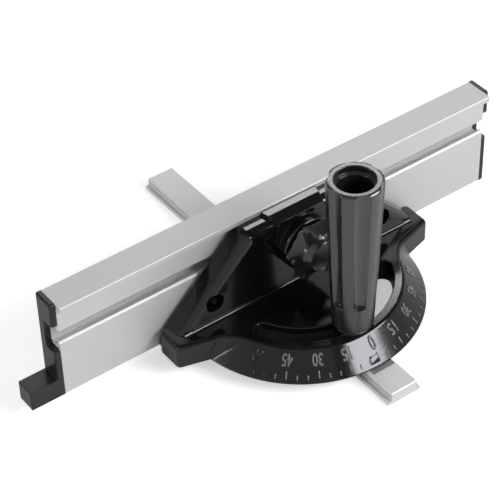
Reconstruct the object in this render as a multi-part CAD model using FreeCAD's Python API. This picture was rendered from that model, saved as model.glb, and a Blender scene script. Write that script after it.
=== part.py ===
import FreeCAD, Part
import math
import os

# Miter gauge: a guide bar that runs in a table slot, a cast head that turns on it,
# and a long extruded fence held on the head's upright plate.
# Millimetres, +Z up. The origin is the pivot axis at the bar's underside,
# X runs along the fence, +Y towards the workpiece side.

V = FreeCAD.Vector
os.makedirs("parts", exist_ok=True)

# Guide bar
bar_top_width = 19.05
bar_flange_width = 23.7
bar_flange_height = 2.6
bar_height = 8.2
bar_near_reach = 99.6
bar_far_reach = 153.1
bar_chamfer = 0.6
bar_groove_depth = 0.55
bar_groove_width = 0.9
bar_groove_level = 5.1

# Pivot under the head
pivot_washer_thickness = 0.5
pivot_washer_radius = 8.8
pivot_shoulder_radius = 5.0
pivot_head_radius = 7.2
pivot_head_height = 3.4
pivot_head_recess = 0.5
pivot_thread_radius = 3.0
pivot_thread_length = 9.0
pivot_key_across = 4.0
pivot_key_depth = 1.8

# Cast head: dial base and wings
deck_thickness = 15.6
dial_radius = 77.1
dial_rim_height = 0.7
dial_deck_radius = 63.0
wing_half_length = 95.75
wing_front = 6.2
wing_slope_deg = 15.7
wing_corner_round = 3.0
wing_back_round = 4.0
deck_edge_round = 3.0
waist_foot_round = 3.0
waist_deck_round = 14.0

# Arc slot round the pivot
arc_radius = 51.3
arc_width = 11.2
arc_half_angle_deg = 62.8
arc_edge_round = 0.8

# Upright plate on the head
plate_foot_half = 105.5
plate_clip_half = 93.3
plate_side_deg = 44.7
plate_height = 67.4
plate_back = 14.4
plate_front = 2.0
plate_corner_round = 5.0
plate_edge_round = 6.0
panel_rise = 2.3
panel_inset = 1.2
panel_foot_round = 2.0
pad_rise = 2.6
pad_inset = 6.0
pad_top_inset = 7.0

# Ledge on top of the plate
ledge_back_half = 20.3
ledge_front_half = 16.8
ledge_back = 11.6
ledge_crease = 6.0
ledge_overhang = 1.3
ledge_above_plate = 2.3
ledge_slope_drop = 1.7
ledge_below_plate = 2.9

# Bolt boss, which sits a little to the right of the pivot, and plate holes
clamp_height = 45.35
clamp_offset = 2.0
boss_radius = 18.0
boss_rise = 6.2
boss_edge_round = 1.5
plate_hole_radius = 6.2
plate_hole_half_spacing = 63.3
plate_hole_height = 29.4

# Fence extrusion
fence_length = 320.0
fence_thickness = 15.4
fence_height = 71.1
fence_lip_reach = 5.1
fence_lip_thickness = 3.5
fence_wall = 2.2
fence_slot_opening = 8.75
fence_slot_lip = 2.6
fence_slot_width = 15.6
fence_slot_depth = 9.2
fence_slot_chamfer = 1.1
fence_edge_chamfer = 0.4
fence_web_height = 18.0

# End caps
cap_thickness = 4.0
cap_edge_round = 1.5
cap_notch_drop = 3.0
cap_notch_rise = 1.9
cap_notch_round = 1.5
cap_plug_length = 9.0
cap_plug_gap = 0.1
foot_length = 18.9
foot_depth = 13.4
foot_height = 13.4
foot_edge_round = 0.7

# T-bolt, its washer and the star knob
bolt_radius = 4.0
bolt_hole_gap = 0.3
bolt_head_across = 14.6
bolt_head_height = 5.0
bolt_head_long = 18.0
knob_washer_radius = 10.5
knob_washer_thickness = 1.45
knob_radius = 20.0
knob_hub_radius = 12.0
knob_hub_height = 1.1
knob_rim_front = 7.5
knob_rim_round = 0.8
knob_rim_slope_radius = 18.6
knob_rim_slope_level = 8.0
knob_foot_radius = 13.5
knob_foot_level = 9.0
knob_neck_radius = 10.6
knob_ring_radius = 10.0
knob_front = 13.0
knob_recess_radius = 9.3
knob_recess_depth = 0.7
knob_lobes = 6
knob_first_scoop_deg = 84.5
knob_back_scoop_radius = 32.7
knob_back_scoop_center = 50.1
knob_rim_scoop_radius = 7.75
knob_rim_scoop_center = 20.65
knob_front_scoop_radius = 7.0
knob_front_scoop_center = 19.2
knob_lobe_round = 0.7
knob_lobe_inset = 0.05
knob_insert_radius = 6.0
knob_insert_length = 8.5
knob_bolt_reach = 8.0

# Clamp handle on its stud
stud_radius = 4.0
stud_foot_gap = 0.6
stud_reach = 17.0
handle_offset = 51.1
handle_washer_radius = 11.0
handle_washer_thickness = 1.55
handle_height = 107.8
handle_base_radius = 12.6
handle_top_radius = 17.1
handle_base_round = 1.0
handle_rim_round = 2.0
handle_bore_chamfer = 0.3
handle_bore_radius = 12.25
handle_step_depth = 4.4
handle_step_slope = 0.7
handle_inner_radius = 10.6
handle_floor_radius = 9.0
handle_bore_depth = 79.0
handle_insert_radius = 7.0
handle_insert_length = 20.0
flute_count = 6
flute_first_deg = 7.6
flute_half_deg = 16.8
flute_sag = 1.9
flute_top_sag = 1.15
flute_shelf = 19.1

# Clearances shared by mating pieces
running_gap = 0.05
washer_gap = 0.3

# Levels and planes that follow from the sizes above
head_bottom = bar_height + pivot_washer_thickness
deck_top = head_bottom + deck_thickness
plate_top = head_bottom + plate_height
fence_near = plate_back + pad_rise
fence_far = fence_near + fence_thickness
fence_top = head_bottom + fence_height
panel_front = plate_front - panel_rise
clamp_z = head_bottom + clamp_height
boss_front = panel_front - boss_rise
knob_washer_back = boss_front - running_gap
knob_back = knob_washer_back - knob_washer_thickness
handle_washer_bottom = deck_top + running_gap
handle_bottom = handle_washer_bottom + handle_washer_thickness
bar_bore_radius = pivot_shoulder_radius + running_gap
slot_near_cavity = fence_near + fence_slot_lip
slot_far_cavity = fence_near + fence_slot_depth
slot_low = clamp_z - fence_slot_opening / 2
slot_high = clamp_z + fence_slot_opening / 2
cavity_low = clamp_z - fence_slot_width / 2
cavity_high = clamp_z + fence_slot_width / 2
plate_tan = math.tan(math.radians(plate_side_deg))


def save(shape, name):
    shape.exportStep("parts/" + name + ".step")


def box(x0, x1, y0, y1, z0, z1):
    return Part.makeBox(x1 - x0, y1 - y0, z1 - z0, V(x0, y0, z0))


def rod(radius, length, base, axis=V(0, 0, 1)):
    return Part.makeCylinder(radius, length, base, axis)


def prism(points, direction):
    outline = Part.makePolygon(points + [points[0]])
    return Part.Face(outline).extrude(direction)


def turned(profile):
    points = [V(r, 0, z) for r, z in profile]
    outline = Part.makePolygon(points + [points[0]])
    return Part.Face(outline).revolve(V(0, 0, 0), V(0, 0, 1), 360)


def ring(outer, inner, thickness, base, axis=V(0, 0, 1)):
    return rod(outer, thickness, base, axis).cut(rod(inner, thickness, base, axis))


def edges_where(shape, test):
    chosen = []
    for edge in shape.Edges:
        first, last = edge.ParameterRange
        spots = [edge.valueAt(first + (last - first) * k / 4.0) for k in range(5)]
        if all(test(spot) for spot in spots):
            chosen.append(edge)
    return chosen


def rounded(shape, radius, test):
    chosen = edges_where(shape, test)
    return shape.makeFillet(radius, chosen) if chosen else shape


def bevelled(shape, size, test):
    chosen = edges_where(shape, test)
    return shape.makeChamfer(size, chosen) if chosen else shape


def near(a, b, slack=0.01):
    return abs(a - b) < slack


# Guide bar: a stepped strip with a wider flange below, grooved sides and broken top edges
half_top = bar_top_width / 2
half_flange = bar_flange_width / 2
side = [
    (half_flange - 0.4, 0.0),
    (half_flange, 0.4),
    (half_flange, bar_flange_height - 0.3),
    (half_flange - 0.3, bar_flange_height),
    (half_top, bar_flange_height),
    (half_top, bar_groove_level),
    (half_top - bar_groove_depth, bar_groove_level),
    (half_top - bar_groove_depth, bar_groove_level + bar_groove_width),
    (half_top, bar_groove_level + bar_groove_width),
    (half_top, bar_height - bar_chamfer),
    (half_top - bar_chamfer, bar_height),
]
bar_outline = [V(x, -bar_near_reach, z) for x, z in side]
bar_outline += [V(-x, -bar_near_reach, z) for x, z in reversed(side)]
bar = prism(bar_outline, V(0, bar_near_reach + bar_far_reach, 0))
bar = bevelled(
    bar,
    bar_chamfer,
    lambda p: near(p.z, bar_height) and (near(p.y, -bar_near_reach) or near(p.y, bar_far_reach)),
)
head_seat = pivot_head_height + pivot_head_recess
bar = bar.cut(rod(bar_bore_radius, bar_height, V(0, 0, 0)))
bar = bar.cut(rod(pivot_head_radius + washer_gap, head_seat, V(0, 0, 0)))
bar = bar.cut(rod(stud_radius, bar_height, V(0, -handle_offset, 0)))
save(bar, "guide_bar")

# Thin washer that lifts the head off the bar
save(
    ring(pivot_washer_radius, bar_bore_radius, pivot_washer_thickness, V(0, 0, bar_height)),
    "pivot_washer",
)

# Shoulder screw put in from below: sunk head, plain shoulder in the bar, thread in the head
pivot = rod(pivot_head_radius, pivot_head_height, V(0, 0, pivot_head_recess))
pivot = pivot.fuse(rod(pivot_shoulder_radius, head_bottom - head_seat, V(0, 0, head_seat)))
pivot = pivot.fuse(rod(pivot_thread_radius, pivot_thread_length, V(0, 0, head_bottom)))
key_points = []
for k in range(6):
    turn = math.radians(60 * k)
    reach = pivot_key_across / 2 / math.cos(math.radians(30))
    key_points.append(V(reach * math.cos(turn), reach * math.sin(turn), pivot_head_recess))
pivot = pivot.cut(prism(key_points, V(0, 0, pivot_key_depth)))
save(pivot.removeSplitter(), "pivot_screw")

# Stud screwed into the bar, standing up through the arc slot
stud_bottom = stud_foot_gap
stud_top = handle_bottom + stud_reach
stud = rod(stud_radius, stud_top - stud_bottom, V(0, -handle_offset, stud_bottom))
stud = bevelled(stud, 0.8, lambda p: near(p.z, stud_top))
save(stud, "handle_stud")

# Dial: a disc with a long bevel down to a thin rim, kept in front of the pivot
dial = turned([
    (0, head_bottom),
    (dial_radius, head_bottom),
    (dial_radius, head_bottom + dial_rim_height),
    (dial_deck_radius, deck_top),
    (0, deck_top),
])
dial = dial.common(box(-dial_radius, dial_radius, -dial_radius, 0, head_bottom, deck_top))

# Wings: a low block across the back of the dial with slanted front faces
slope = math.tan(math.radians(wing_slope_deg))
inner_x = dial_deck_radius * 0.8
inner_y = -wing_front - (wing_half_length - inner_x) * slope
wing_points = [
    V(-wing_half_length, plate_back, head_bottom),
    V(-wing_half_length, -wing_front, head_bottom),
    V(-inner_x, inner_y, head_bottom),
    V(inner_x, inner_y, head_bottom),
    V(wing_half_length, -wing_front, head_bottom),
    V(wing_half_length, plate_back, head_bottom),
]
base = dial.fuse(prism(wing_points, V(0, 0, deck_thickness))).removeSplitter()


# Waist: the crease between dial bevel and wing opens into a wide hollow towards the deck
def in_crease(p):
    bevel_share = (p.z - head_bottom - dial_rim_height) / (deck_thickness - dial_rim_height)
    bevel_radius = dial_radius - bevel_share * (dial_radius - dial_deck_radius)
    front_y = -wing_front - (wing_half_length - abs(p.x)) * slope
    return bevel_share > -0.01 and near(math.hypot(p.x, p.y), bevel_radius, 0.05) and near(p.y, front_y)


for sign in (-1, 1):
    for edge in edges_where(base, lambda p: in_crease(p) and p.x * sign > 0):
        starts_low = edge.valueAt(edge.FirstParameter).z < edge.valueAt(edge.LastParameter).z
        radii = (waist_foot_round, waist_deck_round) if starts_low else (waist_deck_round, waist_foot_round)
        base = base.makeFillet(radii[0], radii[1], [edge])
base = rounded(
    base,
    wing_corner_round,
    lambda p: near(abs(p.x), wing_half_length) and near(p.y, -wing_front),
)
base = rounded(
    base,
    wing_back_round,
    lambda p: near(abs(p.x), wing_half_length) and near(p.y, plate_back),
)
base = rounded(base, deck_edge_round, lambda p: near(p.z, deck_top))

# Upright plate: a trapezoid with sloping sides and a raised front panel
def trapezoid(inset, top_inset, y0, y1):
    foot = plate_foot_half - inset
    top_z = plate_top - top_inset
    top = plate_foot_half - inset - (top_z - head_bottom) / plate_tan
    points = [V(-foot, y0, head_bottom), V(foot, y0, head_bottom), V(top, y0, top_z), V(-top, y0, top_z)]
    solid = prism(points, V(0, y1 - y0, 0))
    return rounded(solid, plate_corner_round, lambda p: near(p.z, top_z) and near(abs(p.x), top))


plate = trapezoid(0, 0, panel_front, plate_back)
plate = rounded(plate, plate_edge_round, lambda p: near(p.y, panel_front) and near(p.z, plate_top))
step = trapezoid(-9, -9, panel_front, plate_front).cut(trapezoid(panel_inset, 0, panel_front, plate_front))
plate = plate.cut(step)
pad = trapezoid(pad_inset, pad_top_inset, plate_back, fence_near)
plate = plate.fuse(pad)
plate = plate.common(
    box(-plate_clip_half, plate_clip_half, panel_front, fence_near, head_bottom, plate_top)
)

# Soft hollow where the front panel meets the deck
hollow_half = plate_foot_half - panel_inset - (deck_thickness + panel_foot_round) / plate_tan
hollow_y = panel_front - panel_foot_round
hollow_z = deck_top + panel_foot_round
foot_hollow = box(-hollow_half, hollow_half, hollow_y, panel_front, deck_top, hollow_z)
hollow_axis = V(-hollow_half, hollow_y, hollow_z)
foot_hollow = foot_hollow.cut(rod(panel_foot_round, 2 * hollow_half, hollow_axis, V(1, 0, 0)))

# Ledge across the top of the plate
ledge_front = panel_front - ledge_overhang
ledge_side = [
    V(-ledge_back_half, ledge_back, plate_top - ledge_below_plate),
    V(-ledge_back_half, ledge_back, plate_top + ledge_above_plate),
    V(-ledge_back_half, ledge_crease, plate_top + ledge_above_plate),
    V(-ledge_back_half, ledge_front, plate_top + ledge_above_plate - ledge_slope_drop),
    V(-ledge_back_half, ledge_front, plate_top - ledge_below_plate),
]
ledge_plan = [
    V(-ledge_back_half, ledge_back, plate_top - 20),
    V(ledge_back_half, ledge_back, plate_top - 20),
    V(ledge_front_half, ledge_front, plate_top - 20),
    V(-ledge_front_half, ledge_front, plate_top - 20),
]
ledge = prism(ledge_side, V(2 * ledge_back_half, 0, 0)).common(prism(ledge_plan, V(0, 0, 40)))

# Boss for the T-bolt
boss_length = plate_front - boss_front
boss = rod(boss_radius, boss_length, V(clamp_offset, plate_front, clamp_z), V(0, -1, 0))
boss = rounded(boss, boss_edge_round, lambda p: near(p.y, boss_front))

head = base.fuse(plate).fuse(foot_hollow).fuse(boss).fuse(ledge).removeSplitter()

# Arc slot with round ends
arc_half = math.radians(arc_half_angle_deg)


def at_angle(radius, angle):
    return V(radius * math.sin(angle), -radius * math.cos(angle), head_bottom)


arc_outer = arc_radius + arc_width / 2
arc_inner = arc_radius - arc_width / 2
end_bulge = arc_half + math.asin(arc_width / 2 / arc_radius)
slot_round = [
    (at_angle(arc_outer, -arc_half), at_angle(arc_outer, 0), at_angle(arc_outer, arc_half)),
    (at_angle(arc_outer, arc_half), at_angle(arc_radius, end_bulge), at_angle(arc_inner, arc_half)),
    (at_angle(arc_inner, arc_half), at_angle(arc_inner, 0), at_angle(arc_inner, -arc_half)),
    (at_angle(arc_inner, -arc_half), at_angle(arc_radius, -end_bulge), at_angle(arc_outer, -arc_half)),
]
slot_wire = Part.Wire([Part.Arc(*three).toShape() for three in slot_round])
head = head.cut(Part.Face(slot_wire).extrude(V(0, 0, deck_thickness)))
head = rounded(
    head,
    arc_edge_round,
    lambda p: near(p.z, deck_top) and abs(math.hypot(p.x, p.y) - arc_radius) < arc_width / 2 + 0.01
    and p.y < -wing_front,
)

# Holes: T-bolt, pivot thread and the two open holes of the plate
head = head.cut(rod(bolt_radius + bolt_hole_gap, 60, V(clamp_offset, fence_near, clamp_z), V(0, -1, 0)))
head = head.cut(rod(pivot_thread_radius, pivot_thread_length, V(0, 0, head_bottom)))
for sign in (-1, 1):
    hole_base = V(sign * plate_hole_half_spacing, fence_near, head_bottom + plate_hole_height)
    head = head.cut(rod(plate_hole_radius, fence_near - panel_front, hole_base, V(0, -1, 0)))
save(head, "miter_head")

# Fence: hollow extrusion with a top lip and a T-slot facing the head
fence_outline = [
    (fence_near + fence_edge_chamfer, head_bottom),
    (fence_far - fence_edge_chamfer, head_bottom),
    (fence_far, head_bottom + fence_edge_chamfer),
    (fence_far, fence_top - fence_edge_chamfer),
    (fence_far - fence_edge_chamfer, fence_top),
    (fence_near - fence_lip_reach + fence_edge_chamfer, fence_top),
    (fence_near - fence_lip_reach, fence_top - fence_edge_chamfer),
    (fence_near - fence_lip_reach, fence_top - fence_lip_thickness),
    (fence_near, fence_top - fence_lip_thickness),
    (fence_near, slot_high),
    (slot_near_cavity, slot_high),
    (slot_near_cavity, cavity_high),
    (slot_far_cavity, cavity_high),
    (slot_far_cavity, cavity_low),
    (slot_near_cavity, cavity_low),
    (slot_near_cavity, slot_low),
    (fence_near + fence_slot_chamfer, slot_low),
    (fence_near, slot_low - fence_slot_chamfer),
    (fence_near, head_bottom + fence_edge_chamfer),
]
half_fence = fence_length / 2
fence = prism([V(-half_fence, y, z) for y, z in fence_outline], V(fence_length, 0, 0))
web_z = head_bottom + fence_web_height
chambers = [
    (head_bottom + fence_wall, web_z - fence_wall / 2),
    (web_z + fence_wall / 2, cavity_low - fence_wall),
    (cavity_high + fence_wall, fence_top - fence_wall),
]
chamber_near = fence_near + fence_wall
chamber_far = fence_far - fence_wall
for low, high in chambers:
    fence = fence.cut(box(-half_fence, half_fence, chamber_near, chamber_far, low, high))
save(fence, "fence_profile")


# End caps: a plate over the fence's end with plugs in its chambers and a notch at the slot
def end_cap(sign):
    x_in = sign * half_fence
    x_out = sign * (half_fence + cap_thickness)
    low_x = min(x_in, x_out)
    high_x = max(x_in, x_out)
    cap = box(low_x, high_x, fence_near, fence_far, head_bottom, fence_top)
    cap = rounded(
        cap,
        cap_edge_round,
        lambda p: near(p.x, x_out) or (near(p.y, fence_near) and near(p.z, fence_top)),
    )
    notch_low = cavity_low - cap_notch_drop
    notch_high = cavity_high + cap_notch_rise
    notch = box(low_x, high_x, fence_near - cap_thickness, slot_far_cavity, notch_low, notch_high)
    notch = rounded(notch, cap_notch_round, lambda p: near(p.y, slot_far_cavity) and near(p.z, notch_low))
    cap = cap.cut(notch)
    for low, high in chambers:
        plug_in = sign * (half_fence - cap_plug_length)
        cap = cap.fuse(box(
            min(plug_in, x_in),
            max(plug_in, x_in),
            chamber_near + cap_plug_gap,
            chamber_far - cap_plug_gap,
            low + cap_plug_gap,
            high - cap_plug_gap,
        ))
    return cap


left_cap = end_cap(-1)
foot_start = -half_fence - cap_thickness
foot = box(
    foot_start - foot_length,
    foot_start + cap_edge_round,
    fence_near,
    fence_near + foot_depth,
    head_bottom,
    head_bottom + foot_height,
)
foot = rounded(
    foot,
    foot_edge_round,
    lambda p: p.x < foot_start + cap_edge_round - 0.1 or near(p.x, foot_start - foot_length),
)
save(left_cap.fuse(foot).removeSplitter(), "left_end_cap")
save(end_cap(1).removeSplitter(), "right_end_cap")

# T-bolt: rectangular head in the fence slot, shank out through the boss
bolt_tip = knob_back - knob_bolt_reach
bolt = rod(bolt_radius, slot_near_cavity - bolt_tip, V(clamp_offset, slot_near_cavity, clamp_z), V(0, -1, 0))
bolt = bevelled(bolt, 0.8, lambda p: near(p.y, bolt_tip))
bolt_head = box(
    clamp_offset - bolt_head_long / 2,
    clamp_offset + bolt_head_long / 2,
    slot_near_cavity,
    slot_near_cavity + bolt_head_height,
    clamp_z - bolt_head_across / 2,
    clamp_z + bolt_head_across / 2,
)
save(bolt.fuse(bolt_head).removeSplitter(), "t_bolt")

# Washer between boss and knob
save(
    ring(
        knob_washer_radius,
        bolt_radius + washer_gap,
        knob_washer_thickness,
        V(clamp_offset, knob_washer_back, clamp_z),
        V(0, -1, 0),
    ),
    "knob_washer",
)


# Star knob, first built upright with its back on the ground
def onto_bolt(shape):
    shape.rotate(V(0, 0, 0), V(1, 0, 0), 90)
    shape.translate(V(clamp_offset, knob_back, clamp_z))
    return shape


knob = turned([
    (0, 0),
    (knob_hub_radius, 0),
    (knob_hub_radius, knob_hub_height),
    (knob_radius - knob_rim_round, knob_hub_height),
    (knob_radius, knob_hub_height + knob_rim_round),
    (knob_radius, knob_rim_front - knob_rim_round),
    (knob_radius - knob_rim_round * 0.5, knob_rim_front),
    (knob_rim_slope_radius, knob_rim_slope_level),
    (knob_foot_radius, knob_foot_level),
    (knob_foot_radius - 1.2, knob_foot_level + 0.5),
    (knob_foot_radius - 2.0, knob_foot_level + 1.5),
    (knob_neck_radius, knob_foot_level + 3.0),
    (knob_ring_radius, knob_front - 0.2),
    (knob_ring_radius - 0.2, knob_front),
    (knob_recess_radius, knob_front),
    (knob_recess_radius, knob_front - knob_recess_depth),
    (0, knob_front - knob_recess_depth),
])


# Finger scoops narrow from the back of the rim to the front; the lobes between have rounded corners
def scoop_ring(radius, centre, level):
    return Part.Wire(Part.Circle(V(centre, 0, level), V(0, 0, 1), radius).toShape())


scoop_tool = Part.makeLoft(
    [
        scoop_ring(knob_back_scoop_radius, knob_back_scoop_center, 0),
        scoop_ring(knob_rim_scoop_radius, knob_rim_scoop_center, knob_rim_front),
        scoop_ring(knob_front_scoop_radius, knob_front_scoop_center, knob_front),
    ],
    True,
    True,
)
star_radius = knob_radius - knob_lobe_inset
star = rod(star_radius, knob_front, V(0, 0, 0))
for k in range(knob_lobes):
    scoop = scoop_tool.copy()
    scoop.rotate(V(0, 0, 0), V(0, 0, 1), knob_first_scoop_deg + 360.0 / knob_lobes * k)
    star = star.cut(scoop)
lobe_corners = [
    edge for edge in star.Edges
    if edge.BoundBox.ZLength > knob_lobe_round and math.hypot(*edge.CenterOfMass[:2]) > star_radius - 0.5
]
star = star.makeFillet(knob_lobe_round, lobe_corners)
knob = knob.common(star)
knob = knob.cut(rod(knob_insert_radius, knob_insert_length, V(0, 0, 0)))
save(onto_bolt(knob), "star_knob")

# Threaded insert moulded into the knob
save(
    onto_bolt(ring(knob_insert_radius, bolt_radius + running_gap, knob_insert_length, V(0, 0, 0))),
    "knob_insert",
)

# Washer under the handle, bridging the arc slot
save(
    ring(
        handle_washer_radius,
        stud_radius + washer_gap,
        handle_washer_thickness,
        V(0, -handle_offset, handle_washer_bottom),
    ),
    "handle_washer",
)

# Clamp handle: tapered grip with a plain collar, six flutes above it and a deep stepped bore
grip_levels = [0.0, 15.1, 39.1, 63.1, handle_height]
grip_radii = [
    handle_base_radius,
    handle_base_radius + 0.6,
    handle_base_radius + 1.85,
    handle_base_radius + 2.7,
    handle_top_radius,
]
grip_side = [(handle_base_radius - handle_base_round, 0.0), (handle_base_radius, handle_base_round)]
grip_side += [(r, z) for r, z in zip(grip_radii[1:4], grip_levels[1:4])]
grip_side += [
    (handle_top_radius, handle_height - handle_rim_round),
    (handle_top_radius - handle_rim_round * 0.13, handle_height - handle_rim_round * 0.5),
    (handle_top_radius - handle_rim_round * 0.5, handle_height - handle_rim_round * 0.13),
    (handle_top_radius - handle_rim_round, handle_height),
    (handle_bore_radius + handle_bore_chamfer, handle_height),
    (handle_bore_radius, handle_height - handle_bore_chamfer),
    (handle_bore_radius, handle_height - handle_step_depth),
    (handle_inner_radius, handle_height - handle_step_depth - handle_step_slope),
    (handle_floor_radius, handle_height - handle_bore_depth),
    (0, handle_height - handle_bore_depth),
    (0, handle_insert_length),
    (handle_insert_radius, handle_insert_length),
    (handle_insert_radius, 0),
]
grip = turned(grip_side)


def grip_radius(level):
    for k in range(len(grip_levels) - 1):
        if level <= grip_levels[k + 1]:
            share = (level - grip_levels[k]) / (grip_levels[k + 1] - grip_levels[k])
            return grip_radii[k] + (grip_radii[k + 1] - grip_radii[k]) * share
    return grip_radii[-1]


def flute_section(level):
    radius = grip_radius(level)
    share = (level - flute_shelf) / (handle_height - flute_shelf)
    sag = flute_sag + (flute_top_sag - flute_sag) * share
    half = radius * math.sin(math.radians(flute_half_deg))
    bottom = radius * math.cos(math.radians(flute_half_deg)) - sag
    curve = (half * half + sag * sag) / (2 * sag)
    circle = Part.Circle(V(bottom + curve, 0, level), V(0, 0, 1), curve)
    return Part.Wire(circle.toShape())


# Each flute is cut up to the top from a flat shelf above the collar, shallower towards the top
flute_levels = [flute_shelf] + grip_levels[2:]
flute_tool = Part.makeLoft([flute_section(level) for level in flute_levels], True, True)
for k in range(flute_count):
    cutter = flute_tool.copy()
    cutter.rotate(V(0, 0, 0), V(0, 0, 1), flute_first_deg + 360.0 / flute_count * k)
    grip = grip.cut(cutter)
grip.translate(V(0, -handle_offset, handle_bottom))
save(grip, "clamp_handle")

# Threaded insert in the handle's foot
save(
    ring(
        handle_insert_radius,
        stud_radius + running_gap,
        handle_insert_length,
        V(0, -handle_offset, handle_bottom),
    ),
    "handle_insert",
)
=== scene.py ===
import math

import bpy
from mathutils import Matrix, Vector


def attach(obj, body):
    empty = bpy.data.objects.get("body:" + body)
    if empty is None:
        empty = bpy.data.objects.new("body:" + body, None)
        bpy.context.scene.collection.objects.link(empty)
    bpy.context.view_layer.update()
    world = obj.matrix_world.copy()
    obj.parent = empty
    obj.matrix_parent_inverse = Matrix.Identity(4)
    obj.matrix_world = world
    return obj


# Miter gauge: a guide bar for a table slot, a cast head that turns on it with an angle
# dial, and an extruded fence clamped to the head's upright plate.
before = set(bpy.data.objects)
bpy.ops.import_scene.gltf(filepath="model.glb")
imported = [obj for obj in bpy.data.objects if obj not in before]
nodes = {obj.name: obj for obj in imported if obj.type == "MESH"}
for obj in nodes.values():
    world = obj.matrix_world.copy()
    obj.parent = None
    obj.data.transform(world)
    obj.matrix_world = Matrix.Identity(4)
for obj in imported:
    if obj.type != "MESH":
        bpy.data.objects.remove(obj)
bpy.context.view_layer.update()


# Camera: a long lens, about forty degrees above the table, from the front left. Its place
# and its turn in degrees come from a fit to the edges of the fence and the bar.
camera_place = (-0.53276, -0.70164, 0.81966)
camera_turn = (48.7238, 1.3278, -36.4084)
bpy.ops.object.camera_add(location=camera_place)
camera = bpy.context.object
camera.rotation_euler = [math.radians(angle) for angle in camera_turn]
camera.data.sensor_width = 36.0
camera.data.lens = 140.084
camera.data.clip_start = 0.05
scene = bpy.context.scene
scene.camera = camera
scene.view_settings.view_transform = "Standard"


# Studio: a white room. The walls are bright near the floor and dim overhead, so that black
# gloss stays black and metal shows the white sweep it stands on.
wall_light, ceiling_light = 0.75, 0.12
wall_foot, wall_head = 0.05, 0.75
world = bpy.data.worlds.new("studio")
scene.world = world
world.use_nodes = True
sky = world.node_tree
rays = sky.nodes.new("ShaderNodeLightPath")
gaze = sky.nodes.new("ShaderNodeTexCoord")
height = sky.nodes.new("ShaderNodeSeparateXYZ")
walls = sky.nodes.new("ShaderNodeMapRange")
walls.interpolation_type = "SMOOTHSTEP"
walls.inputs["From Min"].default_value = wall_foot
walls.inputs["From Max"].default_value = wall_head
walls.inputs["To Min"].default_value = wall_light
walls.inputs["To Max"].default_value = ceiling_light
backdrop = sky.nodes.new("ShaderNodeMix")
backdrop.inputs["B"].default_value = 1.0
sky.links.new(gaze.outputs["Generated"], height.inputs["Vector"])
sky.links.new(height.outputs["Z"], walls.inputs["Value"])
sky.links.new(rays.outputs["Is Camera Ray"], backdrop.inputs["Factor"])
sky.links.new(walls.outputs["Result"], backdrop.inputs["A"])
sky.links.new(backdrop.outputs["Result"], sky.nodes["Background"].inputs["Strength"])
sky.nodes["Background"].inputs["Color"].default_value = (1, 1, 1, 1)


# Floor: matt white paper just under the gauge. It is lifted to full white for the lens and
# keeps the soft shadow of the gauge.
paper_white = 0.88
paper_glow = 0.45
paper_width = 12.0
paper_level = -0.0005
bpy.ops.mesh.primitive_plane_add(size=paper_width, location=(0, 0, paper_level))
floor = bpy.context.object
floor.name = "floor"
paper = bpy.data.materials.new("paper")
paper.use_nodes = True
paper_nodes = paper.node_tree.nodes
paper_shader = paper_nodes["Principled BSDF"]
paper_shader.inputs["Base Color"].default_value = (paper_white, paper_white, paper_white, 1)
paper_shader.inputs["Roughness"].default_value = 1.0
paper_shader.inputs["Specular IOR Level"].default_value = 0.0
paper_shader.inputs["Emission Color"].default_value = (1, 1, 1, 1)
paper_rays = paper_nodes.new("ShaderNodeLightPath")
paper_lift = paper_nodes.new("ShaderNodeMath")
paper_lift.operation = "MULTIPLY"
paper_lift.inputs[1].default_value = paper_glow
paper.node_tree.links.new(paper_rays.outputs["Is Camera Ray"], paper_lift.inputs[0])
paper.node_tree.links.new(paper_lift.outputs[0], paper_shader.inputs["Emission Strength"])
floor.data.materials.append(paper)


# Softboxes: each hangs on a stand two metres off, aimed at the middle of the gauge. The
# angles are degrees seen from the gauge: azimuth from the operator's side towards the
# right, elevation, and the box's width and height.
gauge_middle = Vector((0.0, -0.02, 0.04))
stand_distance = 2.0


def softbox(name, azimuth, elevation, wide, high, radiance):
    turn, rise = math.radians(azimuth), math.radians(elevation)
    across, back = math.sin(turn) * math.cos(rise), -math.cos(turn) * math.cos(rise)
    way = Vector((across, back, math.sin(rise)))
    bpy.ops.object.light_add(type="AREA", location=gauge_middle + way * stand_distance)
    light = bpy.context.object
    light.name = name
    light.data.shape = "RECTANGLE"
    light.data.size = 2 * stand_distance * math.tan(math.radians(wide / 2))
    light.data.size_y = 2 * stand_distance * math.tan(math.radians(high / 2))
    light.data.energy = radiance * math.pi * light.data.size * light.data.size_y
    light.rotation_euler = (-way).to_track_quat("-Z", "Y").to_euler()


softbox("key_softbox", azimuth=34, elevation=35, wide=39, high=17, radiance=13.5)
softbox("back_softbox", azimuth=143, elevation=40, wide=34, high=5, radiance=9.0)
softbox("front_softbox", azimuth=-66, elevation=46, wide=88, high=52, radiance=0.35)
softbox("side_softbox", azimuth=-108, elevation=17, wide=34, high=16, radiance=6.0)


# Guide bar: a flat bar of milled aluminium with a wider foot, which slides in the table's
# T-slot. The cutter left fine lines along it, and its edges are barely broken.
class Wire:
    def __init__(self, socket):
        self.socket = socket

    def maths(self, operation, first, second):
        node = self.socket.id_data.nodes.new("ShaderNodeMath")
        node.operation = operation
        for slot, value in zip(node.inputs, (first, second)):
            if isinstance(value, Wire):
                node.id_data.links.new(value.socket, slot)
            else:
                slot.default_value = value
        return Wire(node.outputs[0])

    def __add__(self, other):
        return self.maths("ADD", self, other)

    def __mul__(self, other):
        return self.maths("MULTIPLY", self, other)

    __radd__ = __add__
    __rmul__ = __mul__


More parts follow.
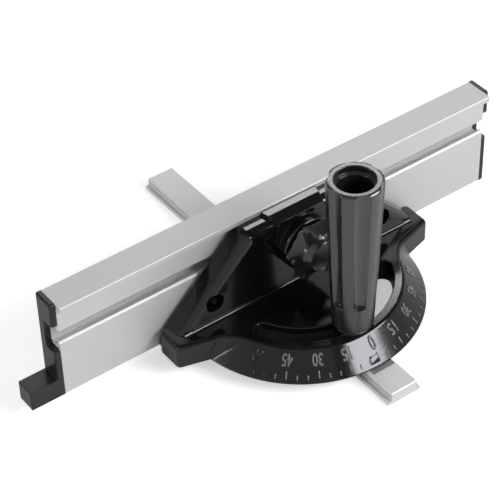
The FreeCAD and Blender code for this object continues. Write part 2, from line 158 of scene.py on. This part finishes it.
class Finish:
    def __init__(self, name, **fixed):
        self.material = bpy.data.materials.new(name)
        self.material.use_nodes = True
        self.tree = self.material.node_tree
        self.shader = self.tree.nodes["Principled BSDF"]
        for socket, value in fixed.items():
            self.feed(socket.replace("_", " "), value)

    def feed(self, socket, value, node=None):
        slot = (node or self.shader).inputs[socket]
        if isinstance(value, Wire):
            self.tree.links.new(value.socket, slot)
        elif slot.type == "RGBA":
            slot.default_value = (*value, 1)
        else:
            slot.default_value = value

    def node(self, kind, settings, sockets, output=0):
        made = self.tree.nodes.new(kind)
        for key, value in settings.items():
            setattr(made, key, value)
        for socket, value in sockets.items():
            self.feed(socket, value, made)
        return Wire(made.outputs[output])

    def noise(self, scale, detail=2.0):
        place = self.node("ShaderNodeTexCoord", {}, {}, "Object")
        if isinstance(scale, tuple):
            place = self.node("ShaderNodeMapping", {}, {"Vector": place, "Scale": scale})
            scale = 1.0
        sockets = {"Vector": place, "Scale": scale, "Detail": detail}
        return self.node("ShaderNodeTexNoise", {}, sockets)

    def blend(self, share, first, second):
        factor, colour_a, colour_b, colour_result = 0, 6, 7, 2
        sockets = {factor: share, colour_a: first, colour_b: second}
        return self.node("ShaderNodeMix", {"data_type": "RGBA"}, sockets, colour_result)

    def bump(self, relief, depth, edge):
        round_edge = self.node("ShaderNodeBevel", {"samples": 6}, {"Radius": edge})
        raised = {"Height": relief, "Distance": depth, "Strength": 1.0, "Normal": round_edge}
        self.feed("Normal", self.node("ShaderNodeBump", {}, raised))


def wear(node, finish):
    nodes[node].data.materials.clear()
    nodes[node].data.materials.append(finish.material)


bar_metal = Finish("milled_bar", Metallic=0.35)
bar_lines = bar_metal.noise((2400.0, 26.0, 2400.0), 3.0)
bar_cloud = bar_metal.noise(60.0)
bar_metal.feed("Base Color", bar_metal.blend(bar_lines, (0.55, 0.55, 0.56), (0.66, 0.66, 0.67)))
bar_metal.feed("Roughness", 0.42 + 0.1 * bar_lines + 0.05 * bar_cloud)
bar_metal.bump(bar_lines, depth=0.00002, edge=0.0002)
wear("guide_bar", bar_metal)


# Index lines: a comb of fine engraved lines across the bar's top just ahead of the dial, a
# little over a millimetre apart, drawn as dark strips: painted shade of the cuts, made wider
# for the painted shadow of the dial rim on the bar.
first_line = (-0.007, -0.0785, 0.0082)
line_size = (0.00068, 0.0044, 0.0001)
line_bevel = 0.00002
line_pitch = 0.00107
line_count = 15
# Painted shade: the near-black base colour stands for the shade in the engraved cuts.
groove_shade = Finish("index_groove_shade", Base_Color=(0.015, 0.015, 0.016), Specular_IOR_Level=0.3)
groove_shade.feed("Roughness", 0.5 + 0.2 * groove_shade.noise(3000.0))
bpy.ops.object.select_all(action="DESELECT")
bpy.ops.mesh.primitive_cube_add(size=1.0, location=first_line, scale=line_size)
bpy.ops.object.transform_apply(location=True, rotation=True, scale=True)
bpy.ops.object.mode_set(mode="EDIT")
bpy.ops.mesh.select_all(action="SELECT")
bpy.ops.mesh.bevel(offset=line_bevel, segments=1, affect="EDGES")
bpy.ops.object.mode_set(mode="OBJECT")
lines = [bpy.context.object]
while len(lines) < line_count:
    bpy.ops.object.select_all(action="DESELECT")
    lines[-1].select_set(True)
    bpy.ops.object.duplicate()
    bpy.ops.transform.translate(value=(line_pitch, 0, 0))
    bpy.ops.object.transform_apply(location=True, rotation=True, scale=True)
    lines.append(bpy.context.object)
for line in lines:
    line.select_set(True)
bpy.context.view_layer.objects.active = lines[0]
bpy.ops.object.join()
lines[0].name = "index_lines"
lines[0].data.materials.append(groove_shade.material)
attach(lines[0], "bar")


# Pivot washer, pivot screw, clamp stud, T-bolt and washers: zinc-plated steel, bought in
# and fitted as they come. The plating is bright, with faint clouds.
zinc = Finish("zinc_plate", Metallic=1.0)
zinc_cloud = zinc.noise(420.0, 4.0)
zinc.feed("Base Color", zinc.blend(zinc_cloud, (0.50, 0.51, 0.52), (0.66, 0.66, 0.66)))
zinc.feed("Roughness", 0.24 + 0.16 * zinc_cloud)
zinc.bump(zinc.noise(1800.0), depth=0.00001, edge=0.0002)
bought_in = ("pivot_washer", "pivot_screw", "handle_stud", "t_bolt", "handle_washer", "knob_washer")
for node in bought_in:
    wear(node, zinc)


# Head: a cast half round with an upright plate, dipped in black gloss enamel. The enamel
# has a fine orange peel and rounds the cast edges.
enamel = Finish("black_enamel", Specular_IOR_Level=0.5, Specular_Tint=(0.95, 0.94, 1.0))
enamel_cloud = enamel.noise(90.0, 3.0)
enamel_peel = enamel.noise(520.0) + 0.35 * enamel.noise(1700.0, 1.0)
enamel.feed(
    "Base Color",
    enamel.blend(enamel_cloud, (0.003, 0.003, 0.0035), (0.006, 0.006, 0.0065)),
)
enamel.feed("Roughness", 0.09 + 0.06 * enamel_cloud)
enamel.bump(enamel_peel, depth=0.000011, edge=0.0006)
wear("miter_head", enamel)


# Dial ticks: cast ribs on the dial's slope every five degrees, longer and taller ones at
# each fifteen, half a millimetre proud. Their grey base colour is a painted highlight for the
# light their gloss black tops catch; the two at the far left and a low cast pad beside the
# zero line keep the black enamel. In millimetres and degrees.
rim_radius, rim_level = 77.1, 9.4
slope_rise, slope_run = 14.9, 14.1
slope = math.atan2(slope_rise, slope_run)
dial_turn = 1.0
pad_turn = -1.4
pad = {"wide": 6.0, "inner": 72.5, "outer": 75.9, "proud": 0.2}
long_tick = {"wide": 0.95, "inner": 72.1, "outer": 75.6, "proud": 0.5}
short_tick = {"wide": 0.85, "inner": 73.7, "outer": 75.9, "proud": 0.46}
rib_bevel = 0.75


def dial_place(radius):
    return (0.0, -radius, rim_level + (rim_radius - radius) * slope_rise / slope_run)


def dial_rib(angle, wide, inner, outer, proud):
    middle = [v / 1000 for v in dial_place((inner + outer) / 2)]
    size = (wide / 1000, (outer - inner) / math.cos(slope) / 1000, 2 * proud / 1000)
    bpy.ops.object.select_all(action="DESELECT")
    bpy.ops.mesh.primitive_cube_add(size=1.0, location=middle, rotation=(slope, 0, 0), scale=size)
    rib = bpy.context.object
    bpy.ops.object.transform_apply(location=True, rotation=True, scale=True)
    bpy.ops.object.mode_set(mode="EDIT")
    bpy.ops.mesh.select_all(action="SELECT")
    bpy.ops.mesh.bevel(offset=proud * rib_bevel / 1000, segments=3, affect="EDGES")
    bpy.ops.object.mode_set(mode="OBJECT")
    rib.rotation_euler.z = math.radians(angle)
    bpy.ops.object.transform_apply(location=True, rotation=True, scale=True)
    return rib


def cast_on(pieces, name, finish):
    bpy.ops.object.select_all(action="DESELECT")
    for piece in pieces:
        piece.select_set(True)
    bpy.context.view_layer.objects.active = pieces[0]
    bpy.ops.object.join()
    pieces[0].name = name
    bpy.ops.object.shade_smooth_by_angle(angle=math.radians(35))
    pieces[0].data.materials.append(finish.material)
    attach(pieces[0], "head")


cast_on([dial_rib(pad_turn, **pad)], "dial_pad", enamel)
# Painted highlight: this grey base colour stands for the light caught by raised gloss black ribs
# and figures.
highlight_enamel = Finish("painted_highlight_enamel", Specular_IOR_Level=0.52)
highlight_cloud = highlight_enamel.noise(260.0, 3.0)
highlight_enamel.feed("Base Color", highlight_enamel.blend(highlight_cloud, (0.07, 0.07, 0.075), (0.16, 0.16, 0.165)))
highlight_enamel.feed("Roughness", 0.14 + 0.12 * highlight_cloud)
highlight_enamel.bump(highlight_enamel.noise(900.0), depth=0.00001, edge=0.0001)
ribs = []
for angle in range(-60, 61, 5):
    tick = long_tick if angle % 15 == 0 else short_tick
    ribs.append(dial_rib(angle + dial_turn, **tick))
cast_on(ribs[:2], "dial_ticks_left", enamel)
cast_on(ribs[2:], "dial_ticks", highlight_enamel)


# Dial numbers: raised figures cast with the head at every fifteen degrees, their tops
# towards the rim, bent to the cone of the dial and enamelled with it. All but the zero and
# the left sixty get a grey base colour, a painted highlight on their raised gloss black strokes.
figure_thickness = 1.0
sunk_share = 0.45
figure_radius = 67.8
zero_size = (3.9, 64.4, 70.8)
figure_size = (6.5, 65.0, 70.5)
figures = {}
for angle in range(-60, 61, 15):
    bpy.ops.object.select_all(action="DESELECT")
    bpy.ops.object.text_add(location=(0, 0, 0))
    figure = bpy.context.object
    figure.data.body = str(abs(angle))
    figure.data.offset = -0.02
    figure.data.extrude = 0.004
    figure.data.bevel_depth = 0.05
    figure.data.bevel_resolution = 3
    figure.data.resolution_u = 5
    bpy.ops.object.convert(target="MESH")
    points = figure.data.vertices
    spans = [(min(p.co[k] for p in points), max(p.co[k] for p in points)) for k in range(3)]
    wide, foot, top = zero_size if angle == 0 else figure_size
    for point in points:
        across, along, up = [(v - low) / (high - low) for v, (low, high) in zip(point.co, spans)]
        turn = math.radians(angle + dial_turn) - (across - 0.5) * wide / figure_radius
        radius = foot + along * (top - foot)
        proud = (up - sunk_share) * figure_thickness
        reach = radius + proud * math.sin(slope)
        level = dial_place(radius)[2] + proud * math.cos(slope)
        point.co = Vector((reach * math.sin(turn), -reach * math.cos(turn), level)) / 1000
    figures[angle] = figure
cast_on([figures.pop(0)], "dial_zero", enamel)
cast_on([figures.pop(-60)], "dial_sixty_left", enamel)
cast_on(list(figures.values()), "dial_numbers", highlight_enamel)


# Fence: an aluminium extrusion with two T-slots, anodised silver. The die left straight
# lines along it.
fence_metal = Finish("silver_anodising", Metallic=0.35)
fence_lines = fence_metal.noise((22.0, 2600.0, 2600.0), 3.0)
fence_cloud = fence_metal.noise(35.0, 3.0)
fence_metal.feed(
    "Base Color",
    fence_metal.blend(fence_lines, (0.52, 0.52, 0.53), (0.58, 0.58, 0.59)),
)
fence_metal.feed("Roughness", 0.44 + 0.09 * fence_lines + 0.05 * fence_cloud)
fence_metal.bump(fence_lines, depth=0.000015, edge=0.0002)
wear("fence_profile", fence_metal)


# End caps: black moulded plastic with a fine spark texture, pushed into the ends of the
# extrusion. The left one carries the stop foot.
cap_plastic = Finish("cap_plastic", Specular_IOR_Level=0.38, Specular_Tint=(0.95, 0.94, 1.0))
cap_grain = cap_plastic.noise(2600.0)
cap_plastic.feed(
    "Base Color",
    cap_plastic.blend(cap_plastic.noise(160.0), (0.010, 0.010, 0.012), (0.016, 0.016, 0.018)),
)
cap_plastic.feed("Roughness", 0.24 + 0.12 * cap_grain)
cap_plastic.bump(cap_grain, depth=0.000012, edge=0.0007)
for node in ("left_end_cap", "right_end_cap"):
    wear(node, cap_plastic)


# Star knob: glossy black thermoset, moulded round a brass insert, with six lobes.
# The moulding shrank a little, so its gloss is not quite even.
knob_gloss = Finish("knob_gloss", Specular_IOR_Level=0.8, Specular_Tint=(0.96, 0.95, 1.0))
knob_ripple = knob_gloss.noise(240.0)
knob_gloss.feed(
    "Base Color",
    knob_gloss.blend(knob_ripple, (0.010, 0.010, 0.012), (0.016, 0.016, 0.018)),
)
knob_gloss.feed("Roughness", 0.14 + 0.1 * knob_ripple)
knob_gloss.bump(knob_ripple + 0.2 * knob_gloss.noise(1500.0), depth=0.00001, edge=0.0007)
wear("star_knob", knob_gloss)


# Inserts: threaded brass bushes, turned on a lathe, which left fine rings round them. They
# are moulded into the knob and the handle.
brass = Finish("turned_brass", Metallic=1.0)
brass_rings = brass.noise((300.0, 300.0, 4000.0))
brass.feed("Base Color", brass.blend(brass_rings, (0.66, 0.49, 0.23), (0.78, 0.62, 0.33)))
brass.feed("Roughness", 0.22 + 0.15 * brass_rings)
for node in ("knob_insert", "handle_insert"):
    wear(node, brass)


# Clamp handle: a tall fluted grip of dark satin plastic, moulded over a brass insert and
# screwed down on the stud to lock the head.
grip_plastic = Finish("grip_plastic", Specular_IOR_Level=1.0, Specular_Tint=(0.96, 0.95, 1.0))
grip_grain = grip_plastic.noise(2200.0)
grip_plastic.feed(
    "Base Color",
    grip_plastic.blend(grip_plastic.noise(120.0), (0.010, 0.010, 0.012), (0.015, 0.015, 0.017)),
)
grip_plastic.feed("Roughness", 0.17 + 0.07 * grip_grain)
grip_plastic.bump(grip_grain, depth=0.000008, edge=0.0007)
wear("clamp_handle", grip_plastic)
